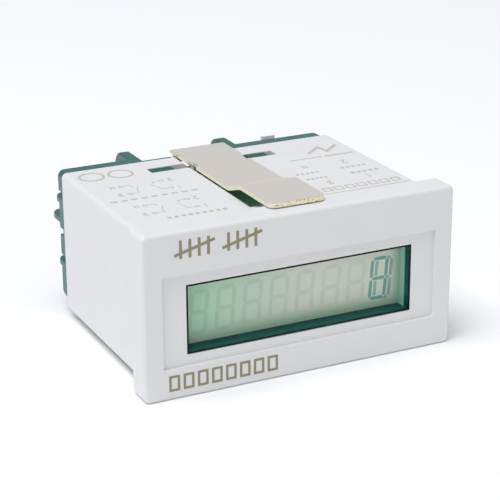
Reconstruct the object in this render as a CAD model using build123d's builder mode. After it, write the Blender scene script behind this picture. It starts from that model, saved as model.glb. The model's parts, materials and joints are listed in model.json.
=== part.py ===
from build123d import *
import os

# Panel-mounted digital totalizing counter: a flush 48 x 24 mm front, a white one-piece case,
# a glass display behind a window, a battery-powered board, and four screw terminals at the back.
# Frame in millimetres: X to the right seen from the front, +Y into the panel, +Z up.
# The origin is the centre of the panel cut-out, in the plane where the bezel meets the panel.

os.makedirs("parts", exist_ok=True)

# ---- Driving dimensions -------------------------------------------------------------------

bezel_w, bezel_h, bezel_t = 48.0, 24.0, 4.1
bezel_corner, bezel_edge = 0.8, 0.5
soft_edge = 0.14                    # rounding of the smaller moulded edges
case_w, case_h, case_len = 44.8, 21.6, 30.0
case_corner = 0.7
wall = 1.2
fit_gap = 0.2                       # between the case and what slides into it

# Front recess and display window
recess_w, recess_h, recess_z, recess_depth = 42.2, 13.3, -0.87, 0.5
window_w, window_h, window_z = 34.9, 10.0, -0.95
collar_t = 0.2                      # dark lining of the window
lcd_face = -0.8                     # Y of the display's front surface

# Slots in the case top for the mounting clip
slot_x, slot_half_w, slot_front = 0.3, 3.9, 3.7
slot_round = 1.1                    # rounding of the long slot's sides
cross_half_w, cross_front, cross_back = 10.3, 24.4, 26.6

# Terminal block
block_w, block_h = 44.0, 21.0
floor_y, rim_y, seat_y = 31.4, 32.9, 32.2
rim_t = 1.2
rib_t, rib_back, rib_round = 1.7, 39.0, 2.4
rib_x = (-9.65, 6.5)                # tall ribs each side of the middle pair of terminals
mid_rib_x, mid_rib_t = -1.6, 1.0
fin_t = 1.0
fins = ((5.3, 35.15, True), (2.1, 36.85, False), (-4.8, 35.1, True))  # underside Z, rear Y, rim notch
terminal_x = (-16.3, -5.4, 2.3, 13.5)
terminal_z = -0.85

# Terminal hardware, M3
plate_w, plate_h, plate_t = 5.9, 5.4, 0.8
washer_w, washer_h, washer_t = 5.4, 5.0, 0.7
shank_r, thread_r, washer_hole_r, well_r = 1.45, 1.5, 1.52, 1.65
shank_len, head_r, head_h = 5.0, 2.7, 2.0
well_floor = 28.4
low_leg_z = -7.85                   # the middle pair's legs pass below the battery

# Inside
board_front, board_t = 4.6, 1.0
board_back = board_front + board_t
battery_r, battery_len, battery_y = 7.25, 24.8, 15.2
tab_t = 0.3
chassis_wall = 1.0
channel_x, channel_z = (slot_x - 5.3, slot_x + 5.3), 8.6   # groove where the clip's feet run

# Mounting clip
clip_w, clip_t = 8.8, 0.6
clip_front, clip_rear = -1.9, 32.0
clip_ramp = (7.5, 11.4)             # Y where the strip steps down behind the bezel
clip_low_z, clip_high_z = 11.2, 12.5   # middle of the sheet over the case and over the bezel

cavity_w, cavity_h = case_w - 2 * wall, case_h - 2 * wall
insert_w, insert_h = cavity_w - 2 * fit_gap, cavity_h - 2 * fit_gap
recess_floor = -bezel_t + recess_depth
cavity_front = recess_floor + wall


def across(y):
    """Sketch plane across the counter at depth y, drawn in X and Z. A minus extrude goes back."""
    return Plane.XZ.offset(-y)


def slab(x, y, z, mode=Mode.ADD):
    """Block between two X, two Y and two Z values."""
    with Locations((sum(x) / 2, sum(y) / 2, sum(z) / 2)):
        Box(x[1] - x[0], y[1] - y[0], z[1] - z[0], mode=mode)


# ---- Front case: bezel and case in one moulding -------------------------------------------

with BuildPart() as front_case:
    with BuildSketch(across(-bezel_t)):
        RectangleRounded(bezel_w, bezel_h, bezel_corner)
    extrude(amount=-bezel_t)
    fillet(front_case.faces().sort_by(Axis.Y)[0].edges(), bezel_edge)
    with BuildSketch(across(0)):
        RectangleRounded(case_w, case_h, case_corner)
    extrude(amount=-case_len)
    with BuildSketch(across(cavity_front)):
        Rectangle(cavity_w, cavity_h)
    extrude(amount=cavity_front - case_len, mode=Mode.SUBTRACT)
    with BuildSketch(across(-bezel_t)):
        with Locations((0, recess_z)):
            RectangleRounded(recess_w, recess_h, 0.3)
    extrude(amount=-recess_depth, mode=Mode.SUBTRACT)
    with BuildSketch(across(recess_floor)):
        with Locations((0, window_z)):
            Rectangle(window_w, window_h)
    extrude(amount=-wall, mode=Mode.SUBTRACT)
    top_wall = (cavity_h / 2, case_h / 2)
    slot_sides = (slot_x - slot_half_w, slot_x + slot_half_w)
    slab(slot_sides, (slot_front, case_len), top_wall, Mode.SUBTRACT)
    slab((-cross_half_w, cross_half_w), (cross_front, cross_back), top_wall, Mode.SUBTRACT)
    for x in (-12, 12):
        slab((x - 2.2, x + 2.2), (27.4, 29.0), (-case_h / 2, -cavity_h / 2), Mode.SUBTRACT)
    # Moulded edges of the recess, the window and the slots in the top
    fillet(front_case.faces().sort_by(Axis.Y)[0].inner_wires()[0].edges(), soft_edge)
    recess_face = front_case.faces().filter_by_position(Axis.Y, recess_floor - 0.01, recess_floor + 0.01)[0]
    fillet(recess_face.inner_wires()[0].edges(), soft_edge)
    top_edges = front_case.edges().filter_by_position(Axis.Z, case_h / 2 - 0.01, case_h / 2 + 0.01)
    slot_edges = top_edges.filter_by(lambda edge: min(abs(edge.center().X - x) for x in slot_sides) < 0.01)
    fillet(slot_edges, slot_round)
    cross_edges = front_case.edges().filter_by_position(Axis.Z, case_h / 2 - 0.01, case_h / 2 + 0.01)
    cross_edges = cross_edges.filter_by_position(Axis.Y, cross_front - 0.01, cross_back + 0.01)
    fillet(cross_edges.filter_by(lambda edge: abs(edge.center().X) < cross_half_w + 0.1), soft_edge)

front_case.part.label = "front_case"
export_step(front_case.part, "parts/front_case.step")

# ---- Window and display -------------------------------------------------------------------

# Clear lens, bonded inside the collar
with BuildPart() as window_lens:
    with BuildSketch(across(recess_floor + 0.15)):
        with Locations((0, window_z)):
            Rectangle(window_w - 2 * collar_t - 0.2, window_h - 2 * collar_t - 0.2)
    extrude(amount=-0.8)

window_lens.part.label = "window_lens"
export_step(window_lens.part, "parts/window_lens.step")

# Dark frame: a collar that lines the window, a mask, and a pocket that holds the display
glass_w, glass_h = 38.2, 14.4
pocket_w, pocket_h = glass_w + 0.4, glass_h + 0.4

with BuildPart() as display_frame:
    with BuildSketch(across(recess_floor)):
        with Locations((0, window_z)):
            Rectangle(window_w - 0.1, window_h - 0.1)
    extrude(amount=recess_floor - lcd_face)
    with BuildSketch(across(cavity_front + 0.05)):
        Rectangle(insert_w, insert_h)
    extrude(amount=cavity_front + 0.05 - board_front)
    with BuildSketch(across(recess_floor)):
        with Locations((0, window_z)):
            Rectangle(window_w - 2 * collar_t, window_h - 2 * collar_t)
    extrude(amount=recess_floor - lcd_face, mode=Mode.SUBTRACT)
    with BuildSketch(across(lcd_face)):
        with Locations((0, window_z)):
            Rectangle(pocket_w, pocket_h)
    extrude(amount=lcd_face - board_front, mode=Mode.SUBTRACT)

display_frame.part.label = "display_frame"
export_step(display_frame.part, "parts/display_frame.step")

# Display sandwich, from the front: polarizer, contact glass, back glass, reflector
polarizer_t, pane_t, reflector_t = 0.2, 0.7, 0.25
contact_glass_y = lcd_face + polarizer_t
back_glass_y = contact_glass_y + pane_t
reflector_y = back_glass_y + pane_t

with BuildPart() as lcd_front_polarizer:
    with BuildSketch(across(lcd_face)):
        with Locations((0, window_z)):
            Rectangle(36.0, 11.0)
    extrude(amount=-polarizer_t)

lcd_front_polarizer.part.label = "lcd_front_polarizer"
export_step(lcd_front_polarizer.part, "parts/lcd_front_polarizer.step")

with BuildPart() as lcd_contact_glass:
    with BuildSketch(across(contact_glass_y)):
        with Locations((0, window_z)):
            Rectangle(glass_w, glass_h)
    extrude(amount=-pane_t)

lcd_contact_glass.part.label = "lcd_contact_glass"
export_step(lcd_contact_glass.part, "parts/lcd_contact_glass.step")

with BuildPart() as lcd_back_glass:
    with BuildSketch(across(back_glass_y)):
        with Locations((0, window_z)):
            Rectangle(glass_w, 11.2)
    extrude(amount=-pane_t)

lcd_back_glass.part.label = "lcd_back_glass"
export_step(lcd_back_glass.part, "parts/lcd_back_glass.step")

with BuildPart() as lcd_reflector:
    with BuildSketch(across(reflector_y)):
        with Locations((0, window_z)):
            Rectangle(37.0, 10.8)
    extrude(amount=-reflector_t)

lcd_reflector.part.label = "lcd_reflector"
export_step(lcd_reflector.part, "parts/lcd_reflector.step")

# Striped elastomer connectors between the contact glass and the board
strip_t, strip_offset = 1.2, 6.35
for place, side in (("upper", 1), ("lower", -1)):
    with BuildPart() as contact_strip:
        strip_z = window_z + side * strip_offset
        slab((-18.2, 18.2), (back_glass_y, board_front), (strip_z - strip_t / 2, strip_z + strip_t / 2))
    contact_strip.part.label = f"contact_strip_{place}"
    export_step(contact_strip.part, f"parts/contact_strip_{place}.step")

# ---- Board and what is soldered to it -----------------------------------------------------

outer_leg_x = (terminal_x[0] - 2.5, terminal_x[3] + 2.5)
tab_x = battery_len / 2 + tab_t / 2

with BuildPart() as main_board:
    with BuildSketch(across(board_front)):
        RectangleRounded(insert_w - 0.4, insert_h - 0.2, 0.5)
        with Locations(*[(x, terminal_z) for x in outer_leg_x]):
            Circle(0.65, mode=Mode.SUBTRACT)
        with Locations(*[(x, low_leg_z) for x in terminal_x[1:3]]):
            Circle(0.65, mode=Mode.SUBTRACT)
        with Locations((-tab_x, 0), (tab_x, 0)):
            Rectangle(0.6, 2.4, mode=Mode.SUBTRACT)
    extrude(amount=-board_t)

main_board.part.label = "main_board"
export_step(main_board.part, "parts/main_board.step")

# Counting chip under a drop of black resin
with BuildPart() as counter_chip:
    with BuildSketch(across(board_back)):
        with Locations((-3.5, 0.8)):
            Circle(4.2)
    extrude(amount=-1.3)
    fillet(counter_chip.faces().sort_by(Axis.Y)[-1].edges(), 1.2)

counter_chip.part.label = "counter_chip"
export_step(counter_chip.part, "parts/counter_chip.step")

with BuildPart() as timing_crystal:
    with Locations((8.2, board_back + 1.0, 3.0)):
        Cylinder(0.95, 6.0)
    fillet(timing_crystal.faces().sort_by(Axis.Z)[-1].edges(), 0.3)

timing_crystal.part.label = "timing_crystal"
export_step(timing_crystal.part, "parts/timing_crystal.step")

with BuildPart() as chip_capacitors:
    with BuildSketch(across(board_back)):
        with Locations((5.2, 4.0), (5.2, -1.2), (10.6, -4.0), (-10.4, 4.2), (-10.4, -4.4)):
            Rectangle(1.25, 2.0)
    extrude(amount=-1.2)

chip_capacitors.part.label = "chip_capacitors"
export_step(chip_capacitors.part, "parts/chip_capacitors.step")

with BuildPart() as chip_resistors:
    with BuildSketch(across(board_back)):
        with Locations((-9.0, -6.6)):
            with GridLocations(2.2, 2.0, 2, 1):
                Rectangle(1.6, 0.8)
        with Locations((7.4, -5.6)):
            with GridLocations(2.4, 1.8, 2, 2):
                Rectangle(1.6, 0.8)
    extrude(amount=-0.5)

chip_resistors.part.label = "chip_resistors"
export_step(chip_resistors.part, "parts/chip_resistors.step")

# ---- Battery: a half-length lithium cell lying across the case ----------------------------

button_h = 1.0
with BuildPart() as battery_cell:
    with BuildSketch(Plane.YZ.offset(-battery_len / 2)):
        with Locations((battery_y, 0)):
            Circle(battery_r)
    extrude(amount=battery_len - button_h)
    fillet(battery_cell.edges().filter_by(GeomType.CIRCLE), 0.5)
    with BuildSketch(Plane.YZ.offset(battery_len / 2 - button_h)):
        with Locations((battery_y, 0)):
            Circle(2.6)
    extrude(amount=button_h)

battery_cell.part.label = "battery_cell"
export_step(battery_cell.part, "parts/battery_cell.step")

for pole, side in (("negative", -1), ("positive", 1)):
    with BuildPart() as battery_tab:
        with BuildSketch(Plane.YZ.offset(side * tab_x - tab_t / 2)):
            with Locations((battery_y, 0)):
                RectangleRounded(8.4, 6.0, 1.0)
            with Locations(((board_front + battery_y) / 2, 0)):
                Rectangle(battery_y - board_front - 0.1, 2.0)
        extrude(amount=tab_t)
    battery_tab.part.label = f"battery_tab_{pole}"
    export_step(battery_tab.part, f"parts/battery_tab_{pole}.step")

# ---- Inner chassis: black sleeve behind the board, seen through the clip's slots ----------

chassis_front, chassis_back = board_back + 0.05, 26.8
with BuildPart() as inner_chassis:
    with BuildSketch(across(chassis_front)):
        RectangleRounded(insert_w, insert_h, 0.5)
        Rectangle(insert_w - 2 * chassis_wall, insert_h - 2 * chassis_wall, mode=Mode.SUBTRACT)
    extrude(amount=chassis_front - chassis_back)
    run = (chassis_front, chassis_back)
    slab((channel_x[0] - 1, channel_x[1] + 1), run, (channel_z - chassis_wall, insert_h / 2 - 0.1))
    slab(channel_x, run, (channel_z, insert_h / 2), Mode.SUBTRACT)
    floor_z = -insert_h / 2 + chassis_wall / 2
    for x in (-9.2, 9.2):
        slab((x - 0.6, x + 0.6), (8.0, 22.4), (floor_z, -2.0))
    with BuildSketch(Plane.YZ.offset(-11)):
        with Locations((battery_y, 0)):
            Circle(battery_r + 0.05)
    extrude(amount=22, mode=Mode.SUBTRACT)
    for side in (-1, 1):
        stop = sorted((side * (tab_x + 0.3), side * (tab_x + 1.3)))
        slab(stop, (10.0, 20.4), (floor_z, -floor_z))
    # Snap bosses that fill the ends of the case's cross slot
    for boss in ((0.1 - cross_half_w, -6.5), (channel_x[1] + 0.2, 9.0)):
        slab(boss, (cross_front + 0.1, cross_back - 0.1), (insert_h / 2 - 0.1, case_h / 2 - 0.15))

inner_chassis.part.label = "inner_chassis"
export_step(inner_chassis.part, "parts/inner_chassis.step")

# ---- Terminal block: plug, rimmed back plate, ribs, fins and screw wells ------------------

rib_faces = (rib_x[0] - rib_t / 2, rib_x[1] + rib_t / 2)
bay_faces = (rib_x[0] + rib_t / 2, rib_x[1] - rib_t / 2)
half_w, half_h = block_w / 2, block_h / 2
plug_front = chassis_back + 0.1

with BuildPart() as terminal_block:
    # Plug inside the case, open at the top where the clip's feet pass
    with BuildSketch(across(plug_front)):
        RectangleRounded(insert_w, insert_h, 0.5)
        Rectangle(insert_w - 2 * wall, insert_h - 2 * wall, mode=Mode.SUBTRACT)
    extrude(amount=plug_front - case_len)
    slab(channel_x, (plug_front, case_len), (7.0, insert_h / 2), Mode.SUBTRACT)
    for x in (-12, 12):
        slab((x - 2.0, x + 2.0), (27.6, 28.8), (-10.3, -insert_h / 2 + 0.3))
    # Back plate, dished inside its rim
    with BuildSketch(across(case_len + 0.05)) as back_outline:
        Rectangle(block_w, block_h)
        fillet(back_outline.vertices().group_by(Axis.Y)[-1], 1.0)
        fillet(back_outline.vertices().group_by(Axis.Y)[0], 2.0)
    extrude(amount=case_len + 0.05 - rim_y)
    with BuildSketch(across(floor_y)) as dish:
        Rectangle(block_w - 2 * rim_t, block_h - 2 * rim_t)
        fillet(dish.vertices(), 0.6)
    extrude(amount=floor_y - rim_y, mode=Mode.SUBTRACT)
    slab(bay_faces, (floor_y, rim_y), (half_h - rim_t - 0.2, half_h), Mode.SUBTRACT)
    with BuildSketch(across(case_len - 0.05)):
        Rectangle(insert_w - 2.0, 6.0)
    extrude(amount=-0.2)
    # Tall ribs and the low middle rib
    for x in rib_x:
        with BuildSketch(Plane.YZ.offset(x - rib_t / 2)) as rib_side:
            with Locations(((floor_y - 0.2 + rib_back) / 2, 0)):
                Rectangle(rib_back - floor_y + 0.2, block_h)
            fillet(rib_side.vertices().group_by(Axis.X)[-1], rib_round)
        extrude(amount=rib_t)
        rib_edges = terminal_block.edges().filter_by_position(Axis.X, x - rib_t / 2, x + rib_t / 2)
        fillet(rib_edges.filter_by(lambda edge: edge.center().Y > rim_y + 1).filter_by(Axis.X, reverse=True), 0.3)
    slab((mid_rib_x - mid_rib_t / 2, mid_rib_x + mid_rib_t / 2), (floor_y, 37.2), (-half_h + 0.5, 6.5))
    # Level fins in the outer bays, with notches in the rim above two of them
    for side, inner_x in ((-1, rib_x[0]), (1, 16.2)):
        for fin_z, fin_back, notched in fins:
            with BuildSketch(Plane.XY.offset(fin_z)) as fin_top:
                with Locations(((inner_x + side * half_w) / 2, (floor_y + fin_back) / 2)):
                    Rectangle(half_w - side * inner_x, fin_back - floor_y)
                outer_corner = fin_top.vertices().group_by(Axis.Y)[-1].sort_by(Axis.X)[-1 if side > 0 else 0]
                fillet(outer_corner, 1.6)
            extrude(amount=fin_t)
            if notched:
                notch = sorted((side * (half_w - rim_t), side * half_w))
                slab(notch, (floor_y, rim_y), (fin_z + fin_t, fin_z + fin_t + 1.1), Mode.SUBTRACT)
        pry_notch = sorted((side * (half_w - 0.7), side * half_w))
        slab(pry_notch, (31.6, 32.9), (0.4, 1.5), Mode.SUBTRACT)
    # Seats, wells and leg passages of the terminals
    for x in terminal_x:
        slab((x - 2.7, x + 2.7), (floor_y - 0.1, seat_y), (terminal_z - 2.6, terminal_z + 2.6))
        with BuildSketch(across(28.0)):
            with Locations((x, terminal_z)):
                Circle(well_r + 1.0)
        extrude(amount=28.0 - floor_y)
        with BuildSketch(across(well_floor)):
            with Locations((x, terminal_z)):
                Circle(well_r)
        extrude(amount=well_floor - seat_y, mode=Mode.SUBTRACT)
    leg_run = (plug_front, seat_y)
    for x in outer_leg_x:
        slab((x - 0.35, x + 0.35), leg_run, (terminal_z - 0.6, terminal_z + 0.6), Mode.SUBTRACT)
    for x in terminal_x[1:3]:
        slab((x - 0.6, x + 0.6), leg_run, (low_leg_z - 0.3, low_leg_z + 0.3), Mode.SUBTRACT)
    # Room for the clip's hem and feet when the clip is drawn back
    slab((slot_x - 4.6, slot_x + 4.6), (case_len, rim_y), (channel_z, half_h), Mode.SUBTRACT)
    slab((slot_x - 5.2, slot_x + 5.2), (case_len, 32.0), (channel_z, 9.7), Mode.SUBTRACT)

    # Moulded edges of the fins and of the plate's outline
    for fin_z, fin_back, _ in fins:
        for z in (fin_z, fin_z + fin_t):
            level = terminal_block.edges().filter_by_position(Axis.Z, z - 0.01, z + 0.01)
            fillet(level.filter_by(lambda edge: edge.center().Y > rim_y + 0.5), 0.2)

terminal_block.part.label = "terminal_block"
export_step(terminal_block.part, "parts/terminal_block.step")

# ---- Terminals: plate with a leg to the board, square clamp washer, pan-head screw --------

washer_y = seat_y + plate_t
head_y = washer_y + washer_t
leg_front = board_front + 0.1

for number, x in enumerate(terminal_x, start=1):
    with BuildPart() as terminal_plate:
        plate_run = (seat_y, washer_y)
        slab((x - plate_w / 2, x + plate_w / 2), plate_run, (terminal_z - plate_h / 2, terminal_z + plate_h / 2))
        if number in (1, 4):
            leg_x = outer_leg_x[0] if number == 1 else outer_leg_x[1]
            slab((leg_x - 0.25, leg_x + 0.25), (leg_front, seat_y), (terminal_z - 0.5, terminal_z + 0.5))
        else:
            slab((x - 0.5, x + 0.5), plate_run, (low_leg_z - 0.2, terminal_z))
            slab((x - 0.5, x + 0.5), (leg_front, seat_y), (low_leg_z - 0.2, low_leg_z + 0.2))
        if number == 4:
            # Test tab that rises behind the rim
            tab_side = (x - 0.8, x + 1.4)
            slab(tab_side, plate_run, (terminal_z, 8.2))
            slab(tab_side, (seat_y, 34.8), (7.6, 8.2))
            slab(tab_side, (34.2, 34.8), (7.6, 10.6))
        with BuildSketch(across(seat_y)):
            with Locations((x, terminal_z)):
                Circle(thread_r)
        extrude(amount=-plate_t, mode=Mode.SUBTRACT)
    terminal_plate.part.label = f"terminal_plate_{number}"
    export_step(terminal_plate.part, f"parts/terminal_plate_{number}.step")

    with BuildPart() as clamp_washer:
        with BuildSketch(across(washer_y)):
            with Locations((x, terminal_z)):
                RectangleRounded(washer_w, washer_h, 0.5)
                Circle(washer_hole_r, mode=Mode.SUBTRACT)
        extrude(amount=-washer_t)
    clamp_washer.part.label = f"clamp_washer_{number}"
    export_step(clamp_washer.part, f"parts/clamp_washer_{number}.step")

    with BuildPart() as terminal_screw:
        with BuildSketch(across(head_y)):
            with Locations((x, terminal_z)):
                Circle(head_r)
        extrude(amount=-head_h)
        fillet(terminal_screw.faces().sort_by(Axis.Y)[-1].edges(), 0.9)
        with BuildSketch(across(head_y + head_h)):
            with Locations((x, terminal_z)):
                Rectangle(3.4, 0.8)
                Rectangle(0.8, 3.4)
        extrude(amount=1.2, mode=Mode.SUBTRACT)
        with BuildSketch(across(head_y)):
            with Locations((x, terminal_z)):
                Circle(shank_r)
        extrude(amount=shank_len)
        chamfer(terminal_screw.faces().sort_by(Axis.Y)[0].edges(), 0.35)
    terminal_screw.part.label = f"terminal_screw_{number}"
    export_step(terminal_screw.part, f"parts/terminal_screw_{number}.step")

# ---- Mounting clip: sprung steel strip that slides along the case top ----------------------

half_clip = clip_w / 2
foot_y = (24.7, 26.3)
with BuildPart() as mounting_clip:
    with BuildSketch(Plane.YZ.offset(slot_x - half_clip)):
        with BuildLine() as clip_side:
            FilletPolyline(
                (clip_front, clip_high_z),
                (clip_ramp[0], clip_high_z),
                (clip_ramp[1], clip_low_z),
                (clip_rear, clip_low_z),
                (clip_rear, clip_low_z - 1.1),
                (clip_rear - 1.6, clip_low_z - 1.1),
                radius=[4.0, 4.0, 0.54, 0.54],
            )
        trace(clip_side.line, line_width=clip_t)
    extrude(amount=clip_w)
    under, through = clip_low_z - clip_t / 2, (clip_low_z - 1, clip_low_z + 1)
    for side in (-1, 1):
        # The hem under the rear end is narrower than the strip
        hem_cut = sorted((slot_x + side * 4.0, slot_x + side * (half_clip + 0.1)))
        slab(hem_cut, (case_len, clip_rear + 1), (9.0, under), Mode.SUBTRACT)
        # Nick in the edge just ahead of the bracket
        nick_x = sorted((slot_x + side * (half_clip - 0.45), slot_x + side * (half_clip + 0.1)))
        slab(nick_x, (22.4, foot_y[0]), through, Mode.SUBTRACT)
        # Bracket welded under the strip, its feet turned out under the lips of the case's slot
        slab(sorted((slot_x + side * 3.2, slot_x + side * 3.7)), foot_y, (8.95, under))
        slab(sorted((slot_x + side * 3.2, slot_x + side * 4.9)), foot_y, (8.95, 9.45))
    slab((slot_x - 3.7, slot_x + 3.7), foot_y, (under - 0.5, under))
    front_corners = mounting_clip.edges().filter_by(Axis.Z).group_by(Axis.Y)[0]
    fillet(front_corners, 1.2)

mounting_clip.part.label = "mounting_clip"
export_step(mounting_clip.part, "parts/mounting_clip.step")
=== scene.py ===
import json
import math

import bmesh
import bpy
from mathutils import Matrix, Vector


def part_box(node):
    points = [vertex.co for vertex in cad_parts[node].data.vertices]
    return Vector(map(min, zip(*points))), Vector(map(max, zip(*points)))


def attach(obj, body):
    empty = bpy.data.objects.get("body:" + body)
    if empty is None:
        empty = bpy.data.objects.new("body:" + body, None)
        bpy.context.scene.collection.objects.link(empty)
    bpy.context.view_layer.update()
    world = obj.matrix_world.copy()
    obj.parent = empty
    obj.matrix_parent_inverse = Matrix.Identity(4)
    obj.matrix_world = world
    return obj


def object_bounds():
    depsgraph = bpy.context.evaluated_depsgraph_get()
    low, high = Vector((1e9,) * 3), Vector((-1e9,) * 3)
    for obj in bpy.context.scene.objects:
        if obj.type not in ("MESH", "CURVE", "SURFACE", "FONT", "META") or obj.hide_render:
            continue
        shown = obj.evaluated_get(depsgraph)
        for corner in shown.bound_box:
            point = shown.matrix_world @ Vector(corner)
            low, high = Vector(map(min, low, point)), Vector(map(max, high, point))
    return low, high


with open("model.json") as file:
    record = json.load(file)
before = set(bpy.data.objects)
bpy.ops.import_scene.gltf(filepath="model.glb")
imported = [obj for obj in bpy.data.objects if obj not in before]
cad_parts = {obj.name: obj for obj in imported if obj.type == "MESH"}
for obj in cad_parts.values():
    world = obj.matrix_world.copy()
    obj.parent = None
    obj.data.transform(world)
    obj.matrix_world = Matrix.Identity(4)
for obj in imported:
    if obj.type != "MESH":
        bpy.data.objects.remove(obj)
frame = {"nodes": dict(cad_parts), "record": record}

# Looks of the panel-mount counter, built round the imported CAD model.
# Metres, +X to the right seen from the front, +Y into the panel, +Z up.

MM = 0.001
cad_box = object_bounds()
nodes = frame["nodes"]
lens_low, lens_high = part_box("window_lens")
window_bottom, window_right = lens_low.z, lens_high.x
CLIP_LEFT = -4.1 * MM                        # left edge of the mounting clip's strip
# The display's greener tone towards the left is painted light
PAINTED_TONE_START, PAINTED_TONE_END = 3 * MM, -16 * MM      # X where the display's greener tone begins and is full


# ---- Mesh helpers -------------------------------------------------------------------------

def add_object(name, mesh, material):
    """Links a mesh as an object of its own, with one material."""
    made = bpy.data.objects.new(name, mesh)
    bpy.context.scene.collection.objects.link(made)
    made.data.materials.append(material)
    return made


def plates(name, outlines, place, thickness, material):
    """Thin closed plates in one mesh. Outlines that share a side are joined there.
    place(u, v, w) gives the point at u, v on the plate and w off it."""
    sheet = bmesh.new()
    corners, sides = {}, {}      # sides is a dict so that it keeps its order

    def corner(u, v):
        key = (round(u / MM, 4), round(v / MM, 4))
        if key not in corners:
            corners[key] = [sheet.verts.new(place(u, v, w)) for w in (0.0, thickness)]
        return key

    for outline in outlines:
        keys = [corner(u, v) for u, v in outline]
        sheet.faces.new([corners[key][0] for key in reversed(keys)])
        sheet.faces.new([corners[key][1] for key in keys])
        for a, b in zip(keys, keys[1:] + keys[:1]):
            if (b, a) in sides:
                del sides[b, a]
            else:
                sides[a, b] = True
    for a, b in sides:
        sheet.faces.new((corners[a][0], corners[b][0], corners[b][1], corners[a][1]))
    bmesh.ops.recalc_face_normals(sheet, faces=sheet.faces)
    mesh = bpy.data.meshes.new(name)
    sheet.to_mesh(mesh)
    sheet.free()
    return add_object(name, mesh, material)


def bar(start, end, width):
    """Outline of a straight stroke."""
    a, b = Vector(start), Vector(end)
    side = (b - a).orthogonal().normalized() * (width / 2)
    return [tuple(a + side), tuple(b + side), tuple(b - side), tuple(a - side)]


def ribbon(points, width, closed=False):
    """Outlines of one stroke through the points, cut square at the ends and mitred in between."""
    points = [Vector(p) for p in points]
    count = len(points)
    left, right = [], []
    for i, point in enumerate(points):
        before = point - points[i - 1] if closed or i else points[1] - point
        after = points[(i + 1) % count] - point if closed or i < count - 1 else before
        normals = [Vector((-d.y, d.x)).normalized() for d in (before, after)]
        mitre = (normals[0] + normals[1]).normalized()
        mitre *= width / 2 / max(mitre.dot(normals[0]), 0.5)
        left.append(tuple(point + mitre))
        right.append(tuple(point - mitre))
    last = count if closed else count - 1
    return [[left[i], left[(i + 1) % count], right[(i + 1) % count], right[i]] for i in range(last)]


def ring(centre, radius, width, steps=40):
    """Outlines that make up a circle's stroke."""
    turns = [2 * math.pi * i / steps for i in range(steps)]
    points = [(centre[0] + radius * math.cos(t), centre[1] + radius * math.sin(t)) for t in turns]
    return ribbon(points, width, closed=True)


# ---- Material helpers ---------------------------------------------------------------------

class Surface:
    """A principled material. Its colour, roughness and relief vary in the object's own frame."""

    def __init__(self, name, color, roughness, metallic=0.0, **sockets):
        self.material = bpy.data.materials.new(name)
        self.material.use_nodes = True
        self.tree = self.material.node_tree
        self.shader = self.tree.nodes["Principled BSDF"]
        self.shader.inputs["Base Color"].default_value = (*color, 1.0)
        self.shader.inputs["Roughness"].default_value = roughness
        self.shader.inputs["Metallic"].default_value = metallic
        for socket, value in sockets.items():
            self.shader.inputs[socket.replace("_", " ")].default_value = value
        self.color, self.roughness = color, roughness
        self.place = self.tree.nodes.new("ShaderNodeTexCoord").outputs["Object"]
        self.relief = None

    def node(self, kind, **values):
        made = self.tree.nodes.new(kind)
        for key, value in values.items():
            setattr(made, key, value)
        return made

    def join(self, a, b):
        self.tree.links.new(a, b)

    def noise(self, size_mm, detail=3.0, stretch=(1, 1, 1)):
        """Noise with features about size_mm across, longer by stretch along each axis."""
        mapping = self.node("ShaderNodeMapping")
        mapping.inputs["Scale"].default_value = [1 / s for s in stretch]
        texture = self.node("ShaderNodeTexNoise")
        texture.inputs["Scale"].default_value = 1 / (size_mm * MM)
        texture.inputs["Detail"].default_value = detail
        self.join(self.place, mapping.inputs["Vector"])
        self.join(mapping.outputs["Vector"], texture.inputs["Vector"])
        return texture.outputs["Fac"]

    def spread(self, fac, low, high, start=0.3, end=0.7):
        """Maps a value to a range."""
        mapped = self.node("ShaderNodeMapRange")
        mapped.inputs["From Min"].default_value = start
        mapped.inputs["From Max"].default_value = end
        mapped.inputs["To Min"].default_value = low
        mapped.inputs["To Max"].default_value = high
        self.join(fac, mapped.inputs["Value"])
        return mapped.outputs["Result"]

    def tint(self, fac, other, start=0.35, end=0.65):
        """Mixes the colour so far with another, where fac rises from start to end."""
        ramp = self.node("ShaderNodeMix", data_type="RGBA")
        color_input = self.shader.inputs["Base Color"]
        if color_input.is_linked:
            self.join(color_input.links[0].from_socket, ramp.inputs["A"])
        else:
            ramp.inputs["A"].default_value = (*self.color, 1.0)
        ramp.inputs["B"].default_value = (*other, 1.0)
        self.join(self.spread(fac, 0.0, 1.0, start, end), ramp.inputs["Factor"])
        self.join(ramp.outputs["Result"], color_input)
        return self

    def vary_roughness(self, fac, low, high):
        self.join(self.spread(fac, low, high), self.shader.inputs["Roughness"])
        return self

    def bump(self, fac, depth_mm, strength=1.0):
        """Relief of the given depth. Several add up."""
        relief = self.node("ShaderNodeBump")
        relief.inputs["Strength"].default_value = strength
        relief.inputs["Distance"].default_value = depth_mm * MM
        self.join(fac, relief.inputs["Height"])
        if self.relief is not None:
            self.join(self.relief, relief.inputs["Normal"])
        self.relief = relief.outputs["Normal"]
        self.join(self.relief, self.shader.inputs["Normal"])
        return self

    def axis(self, name):
        """One coordinate in metres, in the object's frame."""
        split = self.node("ShaderNodeSeparateXYZ")
        self.join(self.place, split.inputs["Vector"])
        return split.outputs[name]


def moulded(name, color, darker, roughness, grain_mm=0.12, grain_depth=0.006, **sockets):
    """Spark-textured moulded plastic with slight flow marks."""
    plastic = Surface(name, color, roughness, **sockets)
    plastic.tint(plastic.noise(9.0, 2.0), darker, 0.3, 0.8)
    plastic.vary_roughness(plastic.noise(3.0, 4.0), roughness - 0.05, roughness + 0.07)
    plastic.bump(plastic.noise(grain_mm, 2.0), grain_depth)
    plastic.bump(plastic.noise(2.5, 1.0), 0.01, 0.4)
    return plastic


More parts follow.
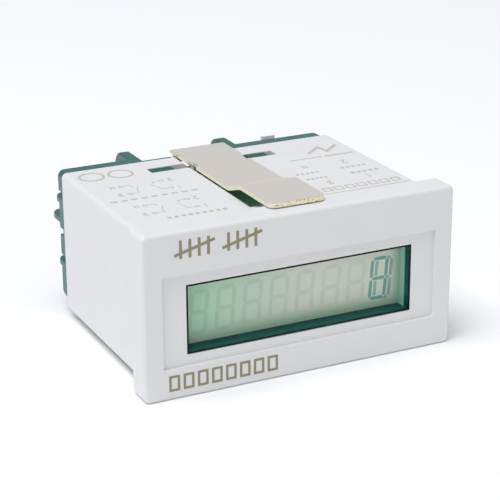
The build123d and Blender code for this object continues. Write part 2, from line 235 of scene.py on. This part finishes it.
def metal(name, color, stain, roughness, grain=(1, 12, 1), grain_mm=0.08, metallic=1.0):
    """Plated sheet metal with a drawn grain along one axis."""
    sheet = Surface(name, color, roughness, metallic)
    sheet.tint(sheet.noise(4.0, 3.0), stain, 0.4, 0.75)
    streaks = sheet.noise(grain_mm, 2.0, grain)
    sheet.vary_roughness(streaks, roughness - 0.06, roughness + 0.08)
    sheet.bump(streaks, 0.003, 0.6)
    return sheet


# ---- Materials ----------------------------------------------------------------------------

def white_case():
    return moulded("white_case", (0.79, 0.795, 0.79), (0.77, 0.775, 0.775), 0.42)


def clear_lens():
    lens = Surface("clear_lens", (0.02, 0.10, 0.09), 0.06, Alpha=0.04, IOR=1.22)
    lens.vary_roughness(lens.noise(2.0, 3.0), 0.04, 0.10)
    return lens


def dark_frame():
    """Dark green collar round the window, black at its front edge, and pale on its right wall with a
    painted reflection of the display.
    """
    collar = Surface("dark_frame", (0.002, 0.080, 0.072), 0.14, Specular_IOR_Level=0.12)
    collar.tint(collar.noise(1.6, 3.0), (0.001, 0.048, 0.048), 0.45, 0.8)
    # Painted reflection: the right wall takes on the pale green of the display beside it
    collar.tint(collar.axis("X"), (0.46, 0.78, 0.62), window_right - 0.1 * MM, window_right + 0.05 * MM)
    sill_start, sill_end = -2.1 * MM, -2.4 * MM
    rim_start, rim_end = -3.25 * MM, -3.4 * MM
    collar.tint(collar.axis("Y"), (0.002, 0.11, 0.10), sill_start, sill_end)
    collar.tint(collar.axis("Y"), (0.001, 0.004, 0.004), rim_start, rim_end)
    collar.vary_roughness(collar.noise(0.8, 3.0), 0.10, 0.22)
    return collar


def display_film():
    """Grey-green front film, with painted light and shade: greener towards the left, and shaded along the
    lower edge and at the right.
    """
    film = Surface("display_film", (0.95, 0.96, 0.84), 0.38, Specular_IOR_Level=0.3)
    film.tint(film.noise(6.0, 2.0), (0.90, 0.94, 0.82), 0.35, 0.65)
    # Painted light: the film turns greener towards the left, standing in for how the light falls across
    # the display
    film.tint(film.axis("X"), (0.57, 0.92, 0.65), PAINTED_TONE_START, PAINTED_TONE_END)
    # Painted shade: greener and darker along the lower edge, where the collar shades the film
    film.tint(film.axis("Z"), (0.62, 0.86, 0.64), window_bottom + 2.2 * MM, window_bottom + 0.6 * MM)
    # Painted shade: darker and greener towards the right edge, where the collar shades the film
    film.tint(film.axis("X"), (0.44, 0.66, 0.52), window_right - 1.4 * MM, window_right)
    film.bump(film.noise(0.05, 1.0), 0.002, 0.5)
    return film


def display_glass():
    glass = Surface("display_glass", (0.80, 0.92, 0.86), 0.05, Alpha=0.25)
    glass.vary_roughness(glass.noise(4.0), 0.03, 0.08)
    return glass


def display_reflector():
    foil = Surface("display_reflector", (0.62, 0.68, 0.60), 0.45, 0.3)
    foil.bump(foil.noise(0.08, 2.0), 0.004)
    return foil


def striped_rubber():
    strip = Surface("striped_rubber", (0.32, 0.10, 0.12), 0.7)
    layers = strip.node("ShaderNodeTexWave", bands_direction="X")
    # The texture repeats every 0.314 / Scale, so each stripe, red or black, is 0.39 mm wide
    layers.inputs["Scale"].default_value = 1 / (0.4 * MM) / 6.28
    layers.inputs["Distortion"].default_value = 0.2
    strip.join(strip.place, layers.inputs["Vector"])
    strip.tint(layers.outputs["Fac"], (0.012, 0.012, 0.014), 0.4, 0.6)
    strip.bump(strip.noise(0.2, 3.0), 0.01)
    return strip


def board_laminate():
    board = Surface("board_laminate", (0.012, 0.12, 0.045), 0.35)
    traces = board.node("ShaderNodeTexBrick")
    traces.inputs["Scale"].default_value = 1 / (1.6 * MM)
    traces.inputs["Mortar Size"].default_value = 0.06
    board.join(board.place, traces.inputs["Vector"])
    board.tint(traces.outputs["Fac"], (0.03, 0.24, 0.09), 0.4, 0.6)
    board.bump(traces.outputs["Fac"], 0.03)
    board.vary_roughness(board.noise(1.5), 0.28, 0.42)
    return board


def chip_resin():
    resin = Surface("chip_resin", (0.008, 0.008, 0.009), 0.22)
    resin.bump(resin.noise(1.5, 2.0), 0.05)
    resin.vary_roughness(resin.noise(0.8), 0.16, 0.35)
    return resin


def ceramic():
    body = Surface("ceramic", (0.40, 0.27, 0.15), 0.5)
    body.tint(body.noise(0.4), (0.46, 0.33, 0.20))
    body.bump(body.noise(0.15), 0.01)
    return body


def resistor_black():
    body = Surface("resistor_black", (0.012, 0.012, 0.013), 0.4)
    body.tint(body.noise(0.5), (0.02, 0.02, 0.022))
    body.bump(body.noise(0.15), 0.008)
    return body


def battery_sleeve():
    sleeve = Surface("battery_sleeve", (0.02, 0.16, 0.10), 0.25)
    bare_start, bare_end = 7.0 * MM, 7.2 * MM
    sleeve.tint(sleeve.axis("X"), (0.55, 0.55, 0.50), bare_start, bare_end)
    sleeve.tint(sleeve.noise(2.0), (0.03, 0.14, 0.09), 0.5, 0.9)
    sleeve.bump(sleeve.noise(1.2, 2.0, (6, 1, 1)), 0.02)
    return sleeve


def nickel_sheet():
    """Nickel plating, turning pale, dull and not metallic at the tip of the test tab above the last
    terminal in a painted highlight.
    """
    sheet = metal("nickel_sheet", (0.84, 0.80, 0.75), (0.72, 0.66, 0.57), 0.32, (8, 1, 1), metallic=0.8)
    height, lit_tip_start, lit_tip_end = sheet.axis("Z"), 8.5 * MM, 9.0 * MM
    # Painted highlight: the tab's tip turns pale and loses its metal sheen
    sheet.tint(height, (0.98, 0.95, 0.95), lit_tip_start, lit_tip_end)
    sheet.join(sheet.spread(height, 0.8, 0.0, lit_tip_start, lit_tip_end), sheet.shader.inputs["Metallic"])
    return sheet


def chassis_plastic():
    """Green moulding, with painted light making the groove under the clip brighter than the bosses in the
    cross slot.
    """
    chassis = moulded("chassis_plastic", (0.006, 0.085, 0.065), (0.009, 0.11, 0.08), 0.5)
    boss_foot, groove_floor = 9.2 * MM, 8.8 * MM
    # Painted light: the groove floor below the bosses turns pale green
    return chassis.tint(chassis.axis("Z"), (0.32, 0.78, 0.50), boss_foot, groove_floor)


def spring_steel():
    """Satin nickel strip, cream along its left and front edges, with specks along the front edge."""
    clip_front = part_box("mounting_clip")[0].y
    strip = metal("spring_steel", (0.99, 0.94, 0.90), (0.97, 0.92, 0.85), 0.38, (1, 14, 1), metallic=0.75)
    strip.tint(strip.axis("X"), (0.93, 0.88, 0.70), CLIP_LEFT + 0.15 * MM, CLIP_LEFT + 0.02 * MM)
    strip.tint(strip.axis("Y"), (0.95, 0.89, 0.66), clip_front + 0.45 * MM, clip_front + 0.2 * MM)
    specks = strip.node("ShaderNodeMath", operation="MULTIPLY")
    near_front = strip.spread(strip.axis("Y"), 1.0, 0.0, clip_front + 0.2 * MM, clip_front + 0.4 * MM)
    strip.join(strip.noise(0.22, 3.0, (1.6, 1, 1)), specks.inputs[0])
    strip.join(near_front, specks.inputs[1])
    strip.tint(specks.outputs["Value"], (0.48, 0.36, 0.20), 0.56, 0.64)
    return strip


SURFACES = {
    "white_case": white_case,
    "clear_lens": clear_lens,
    "dark_frame": dark_frame,
    "display_film": display_film,
    "display_glass": display_glass,
    "display_reflector": display_reflector,
    "striped_rubber": striped_rubber,
    "board_laminate": board_laminate,
    "chip_resin": chip_resin,
    "bright_can": lambda: metal("bright_can", (0.72, 0.72, 0.70), (0.60, 0.60, 0.58), 0.18, (1, 1, 8)),
    "ceramic": ceramic,
    "resistor_black": resistor_black,
    "battery_sleeve": battery_sleeve,
    "nickel_sheet": nickel_sheet,
    "chassis_plastic": chassis_plastic,
    "terminal_plastic": lambda: moulded(
        "terminal_plastic", (0.009, 0.105, 0.100), (0.016, 0.150, 0.132), 0.30),
    "screw_steel": lambda: metal("screw_steel", (0.70, 0.69, 0.66), (0.56, 0.54, 0.48), 0.26, (3, 3, 3)),
    "spring_steel": spring_steel,
}
finishes = {slot: make().material for slot, make in SURFACES.items()}

for subpart in frame["record"]["subparts"]:
    mesh = nodes[subpart["node"]].data
    mesh.materials.clear()
    mesh.materials.append(finishes[subpart["material_slot"]])


# ---- Number display -----------------------------------------------------------------------

film_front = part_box("lcd_front_polarizer")[0].y
DIGITS, DIGIT_PITCH, DIGIT_W, DIGIT_H, DIGIT_STROKE = 8, 4.1 * MM, 3.0 * MM, 6.6 * MM, 0.62 * MM
DIGITS_X, DIGITS_Z = -0.17 * MM, -1.35 * MM      # middle of the row
SLANT = 0.085                                    # lean to the right for each unit of height
SEGMENT_GAP, LEAST_GAP = 0.05 * MM, 0.01 * MM    # from a segment's point to the corner
SHADE_T, BASE_T, LIT_T = 0.007 * MM, 0.01 * MM, 0.013 * MM      # thickness of the layers


def on_display(u, v, w):
    """A point on the display's front, u to the right, v up, w towards the viewer."""
    return (u, film_front - w, v)


def segment(a, b, width):
    """One segment, pointed at both ends."""
    a, b = Vector(a), Vector(b)
    along = (b - a).normalized()
    side = Vector((-along.y, along.x)) * (width / 2)
    tip = along * (width / 2)
    return [a, a + tip + side, b - tip + side, b, b - tip - side, a + tip - side]


def digit(x, z, grow=0.0):
    """The seven segments of one figure, leaning to the right, each grown by a margin."""
    w, h = (DIGIT_W - DIGIT_STROKE) / 2, (DIGIT_H - DIGIT_STROKE) / 2
    gap = max(SEGMENT_GAP - grow, LEAST_GAP)
    corners = {(i, j): (i * w, j * h) for i in (-1, 1) for j in (-1, 0, 1)}
    pairs = [((-1, 1), (1, 1)), ((-1, 0), (1, 0)), ((-1, -1), (1, -1)), ((-1, 1), (-1, 0)),
             ((-1, 0), (-1, -1)), ((1, 1), (1, 0)), ((1, 0), (1, -1))]
    outlines = []
    for start, end in pairs:
        a, b = Vector(corners[start]), Vector(corners[end])
        pull = (b - a).normalized() * gap
        hexagon = segment(a + pull, b - pull, DIGIT_STROKE + 2 * grow)
        outlines.append([(x + p.x + SLANT * p.y, z + p.y) for p in hexagon])
    return outlines


def flat_ink(name, color, roughness=0.4, left=None):
    """Printed or etched layer, or painted light and shade on the display, which may turn to another
    colour towards the left in the display's painted light tone.
    """
    ink = Surface(name, color, roughness)
    ink.tint(ink.noise(0.7, 3.0), [c * 0.93 for c in color], 0.3, 0.75)
    # Painted light: the same greener tone towards the left as on the display film
    if left:
        ink.tint(ink.axis("X"), left, PAINTED_TONE_START, PAINTED_TONE_END)
    ink.bump(ink.noise(0.06, 1.0), 0.002, 0.5)
    return ink.material


# The idle digits take the display's painted light tone towards the left
ghost_ink = flat_ink("segment_idle", (0.84, 0.89, 0.76), left=(0.47, 0.82, 0.58))
# Painted highlight: a pale rim round the counting digit
rim_light_ink = flat_ink("segment_rim_light", (0.97, 0.98, 0.90))
shade_ink = flat_ink("segment_shade", (0.36, 0.64, 0.53))
lit_ink = flat_ink("segment_lit", (0.24, 0.53, 0.43))

centres = [DIGITS_X + (i - (DIGITS - 1) / 2) * DIGIT_PITCH for i in range(DIGITS)]
idle = plates("display_idle_digits", [s for x in centres[:-1] for s in digit(x, DIGITS_Z)],
              on_display, BASE_T, ghost_ink)
# The counting digit, a painted light rim round it, and beside it a painted shadow standing in for the one
# it casts on the reflector behind the glass
counting_x = centres[-1] - 0.4 * MM
shade_x, shade_z = counting_x + 0.75 * MM, DIGITS_Z - 0.1 * MM
shade = plates("display_digit_shadow", digit(shade_x, shade_z, -0.06 * MM),
               on_display, SHADE_T, shade_ink)
halo = plates("display_digit_halo", digit(counting_x, DIGITS_Z, 0.1 * MM), on_display, BASE_T, rim_light_ink)
lit = plates("display_lit_digit", digit(counting_x, DIGITS_Z, -0.05 * MM), on_display, LIT_T, lit_ink)
for piece in (idle, halo, shade, lit):
    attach(piece, "counter")


# ---- Printing on the front ----------------------------------------------------------------

INK_T = 0.02 * MM            # thickness of the ink, here and on the top
front_y = cad_box[0].y


def on_front(u, v, w):
    """A point on the bezel's face, u to the right, v up, w towards the viewer."""
    return (u, front_y - w, v)


def mm(outlines):
    """Outlines drawn in millimetres, in metres."""
    return [[(u * MM, v * MM) for u, v in outline] for outline in outlines]


def tally(x, z, height, pitch, width):
    """Four upright strokes and a slanting one across them."""
    strokes = [bar((x + i * pitch, z), (x + i * pitch, z + height), width) for i in range(4)]
    slash = bar((x - 0.7 * pitch, z + 0.2 * height), (x + 3.7 * pitch, z + 0.8 * height), width)
    return strokes, slash


def dashes(start, end, y, width, count, filled):
    """A dashed bar from start to end, each dash filling part of its step."""
    pitch = (end - start) / count
    return [bar((start + i * pitch, y), (start + (i + filled) * pitch, y), width) for i in range(count)]


def frame_outline(x, z, w, h, width):
    """The stroke round an upright rectangle."""
    return ribbon([(x, z), (x + w, z), (x + w, z + h), (x, z + h)], width, closed=True)


front_ink = flat_ink("front_ink", (0.30, 0.27, 0.165), 0.5)
upper, slashes = [], []
for group in range(2):
    strokes, slash = tally(-18.4 + 7.0 * group, 8.15, height=2.6, pitch=1.35, width=0.42)
    upper += strokes
    slashes.append(slash)
lower = [part for i in range(8) for part in frame_outline(-20.3 + 2.12 * i, -10.55, 1.25, 1.95, 0.36)]
prints = [
    plates("front_mark_tally", mm(upper), on_front, INK_T, front_ink),
    plates("front_mark_slashes", mm(slashes), on_front, 1.3 * INK_T, front_ink),
    plates("front_mark_register", mm(lower), on_front, INK_T, front_ink),
]


# ---- Wiring diagrams printed on the top, read from the back -------------------------------

BOSS_DROP = 0.15 * MM        # the chassis bosses stop this far below the case top
top_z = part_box("inner_chassis")[1].z + BOSS_DROP


def on_top(u, v, w):
    """A point on the case top, u and v the X and Y there, w upwards."""
    return (u, v, top_z + w)


FIGURES = {                  # strokes of each figure, which is 2 units high
    1: [[(-0.25, 0.6), (0.1, 1.0), (0.1, -1.0)]],
    2: [[(-0.6, 0.55), (-0.3, 1.0), (0.3, 1.0), (0.6, 0.5), (-0.6, -1.0), (0.6, -1.0)]],
    3: [[(-0.55, 0.8), (0.0, 1.0), (0.55, 0.6), (0.0, 0.1), (0.6, -0.45), (0.0, -1.0), (-0.6, -0.75)]],
    4: [[(-0.5, 1.0), (-0.5, -0.2), (0.2, -0.2)], [(0.42, 1.0), (0.42, -1.0)]],
}


def figure(number, x, y, size, width):
    """A small terminal number, turned to be read from the back."""
    strokes = []
    for path in FIGURES[number]:
        strokes += ribbon([(x - u * size / 2, y - v * size / 2) for u, v in path], width)
    return strokes


def contact_diagram(x, y):
    """Four numbered terminals: a switch between 1 and 2, and one between 3 and 4."""
    strokes = []
    row, column = 3.6, -9.0
    for number, (u, v) in {1: (0, 0), 2: (0, row), 3: (column, 0), 4: (column, row)}.items():
        strokes += figure(number, x + u, y + v, 1.1, 0.2)
        side = -1 if u == 0 else 1
        strokes += ring((x + u + side * 1.3, y + v), 0.35, 0.16, 16)
    for side, u in ((-1, 0), (1, column)):
        lead, turn = x + u + side * 1.74, x + u + side * 2.8
        strokes += ribbon([(lead, y), (turn, y), (turn, y + 0.9), (turn + side * 0.7, y + 2.5)], 0.14)
        strokes += ribbon([(lead, y + row), (turn, y + row), (turn, y + 2.7)], 0.14)
    return strokes


top_ink = flat_ink("top_ink", (0.56, 0.54, 0.47), 0.5)
diagrams = contact_diagram(-9.4, 7.4) + contact_diagram(-9.3, 16.7)
# Dashed bars over the diagrams
for start, end, y, width in ((-16.4, -7.0, 4.7, 0.75), (-20.9, -7.0, 14.2, 0.55)):
    diagrams += dashes(start, end, y, width, 9, 0.62)
# Two rings at the left, and a zigzag over two bars at the right
marks = ring((-19.1, 26.4), 1.8, 0.42, 48) + ring((-14.7, 26.0), 1.8, 0.42, 48)
marks += ribbon([(14.6, 22.2), (17.4, 24.6), (17.8, 22.2), (20.6, 24.6)], 0.55)
marks += [bar((10.3, 20.1), (15.8, 20.1), 0.3), bar((16.2, 20.0), (21.2, 20.0), 0.45)]
# Terminal numbers, with dashed bars between them, and a row of frames over a line
for x, y, number in ((17.5, 16.4, 2), (17.5, 8.8, 1), (10.9, 16.6, 4), (10.9, 8.4, 3)):
    diagrams += figure(number, x, y, 1.3, 0.24)
for start, end, y, width in ((15.5, 20.1, 13.7, 0.6), (15.7, 20.7, 10.9, 0.8),
                             (8.0, 12.1, 13.6, 0.6), (8.4, 12.0, 11.0, 0.6)):
    diagrams += dashes(start, end, y, width, 5, 0.6)
diagrams += [part for i in range(7) for part in frame_outline(8.2 + 1.88 * i, 4.9, 1.2, 1.3, 0.24)]
diagrams += [bar((7.6, 3.8), (21.4, 3.8), 0.22)]
prints += [
    plates("top_print_diagrams", mm(diagrams), on_top, INK_T, top_ink),
    plates("top_print_marks", mm(marks), on_top, INK_T, top_ink),
]
for piece in prints:
    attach(piece, "counter")


# ---- Camera, floor and light --------------------------------------------------------------

def aim(obj, target, azimuth, elevation, distance, roll=0.0):
    """Puts an object on a sphere round a point, looking at it. Azimuth 0 looks along +Y."""
    a, e = math.radians(azimuth), math.radians(elevation)
    back = Vector((math.sin(a) * math.cos(e), -math.cos(a) * math.cos(e), math.sin(e)))
    obj.location = target + back * distance
    turn = Matrix.Rotation(math.radians(roll), 4, back)
    facing = (-back).to_track_quat("-Z", "Y").to_matrix().to_4x4()
    obj.matrix_world = Matrix.Translation(obj.location) @ turn @ facing


def add_camera():
    data = bpy.data.cameras.new("camera")
    camera = bpy.data.objects.new("camera", data)
    bpy.context.scene.collection.objects.link(camera)
    data.sensor_width = 36
    data.lens = 120.06
    data.clip_start, data.clip_end = 0.01, 10
    target = Vector((-4.90, 2.74, 4.88)) * MM
    aim(camera, target, azimuth=-26.005, elevation=20.369, distance=232.0 * MM, roll=-0.356)
    bpy.context.scene.camera = camera


def add_floor():
    """White paper under the part, wide enough to leave no hard horizon in a low view."""
    half = 4.0
    mesh = bpy.data.meshes.new("floor")
    z = cad_box[0].z
    corners = [(-half, -half, z), (half, -half, z), (half, half, z), (-half, half, z)]
    mesh.from_pydata(corners, [], [(0, 1, 2, 3)])
    paper = Surface("floor", (0.98, 0.98, 0.98), 0.8, Specular_IOR_Level=0.2)
    add_object("floor", mesh, paper.material)


def add_light(name, azimuth, elevation, distance, size, power, color=(1, 1, 1)):
    data = bpy.data.lights.new(name, "AREA")
    data.shape = "DISK"
    data.size = size
    data.energy = power
    data.color = color
    light = bpy.data.objects.new(name, data)
    bpy.context.scene.collection.objects.link(light)
    aim(light, Vector((0, 10, 0)) * MM, azimuth, elevation, distance)


def add_world(horizon, zenith):
    """White sweep all round, with a strength that fades from the horizon to overhead."""
    world = bpy.data.worlds.new("studio")
    world.use_nodes = True
    tree = world.node_tree
    place = tree.nodes.new("ShaderNodeTexCoord")
    split = tree.nodes.new("ShaderNodeSeparateXYZ")
    fade = tree.nodes.new("ShaderNodeMapRange")
    fade.inputs["From Min"].default_value = 0.05
    fade.inputs["From Max"].default_value = 0.75
    fade.inputs["To Min"].default_value = horizon
    fade.inputs["To Max"].default_value = zenith
    tree.links.new(place.outputs["Generated"], split.inputs["Vector"])
    tree.links.new(split.outputs["Z"], fade.inputs["Value"])
    background = tree.nodes["Background"]
    background.inputs["Color"].default_value = (1.0, 1.0, 1.0, 1.0)
    tree.links.new(fade.outputs["Result"], background.inputs["Strength"])
    bpy.context.scene.world = world


add_camera()
add_floor()
add_world(0.48, 0.46)
add_light("key", azimuth=-70, elevation=70, distance=1.2, size=0.8, power=10.7, color=(0.925, 0.94, 1.0))
bpy.context.scene.view_settings.view_transform = "Standard"
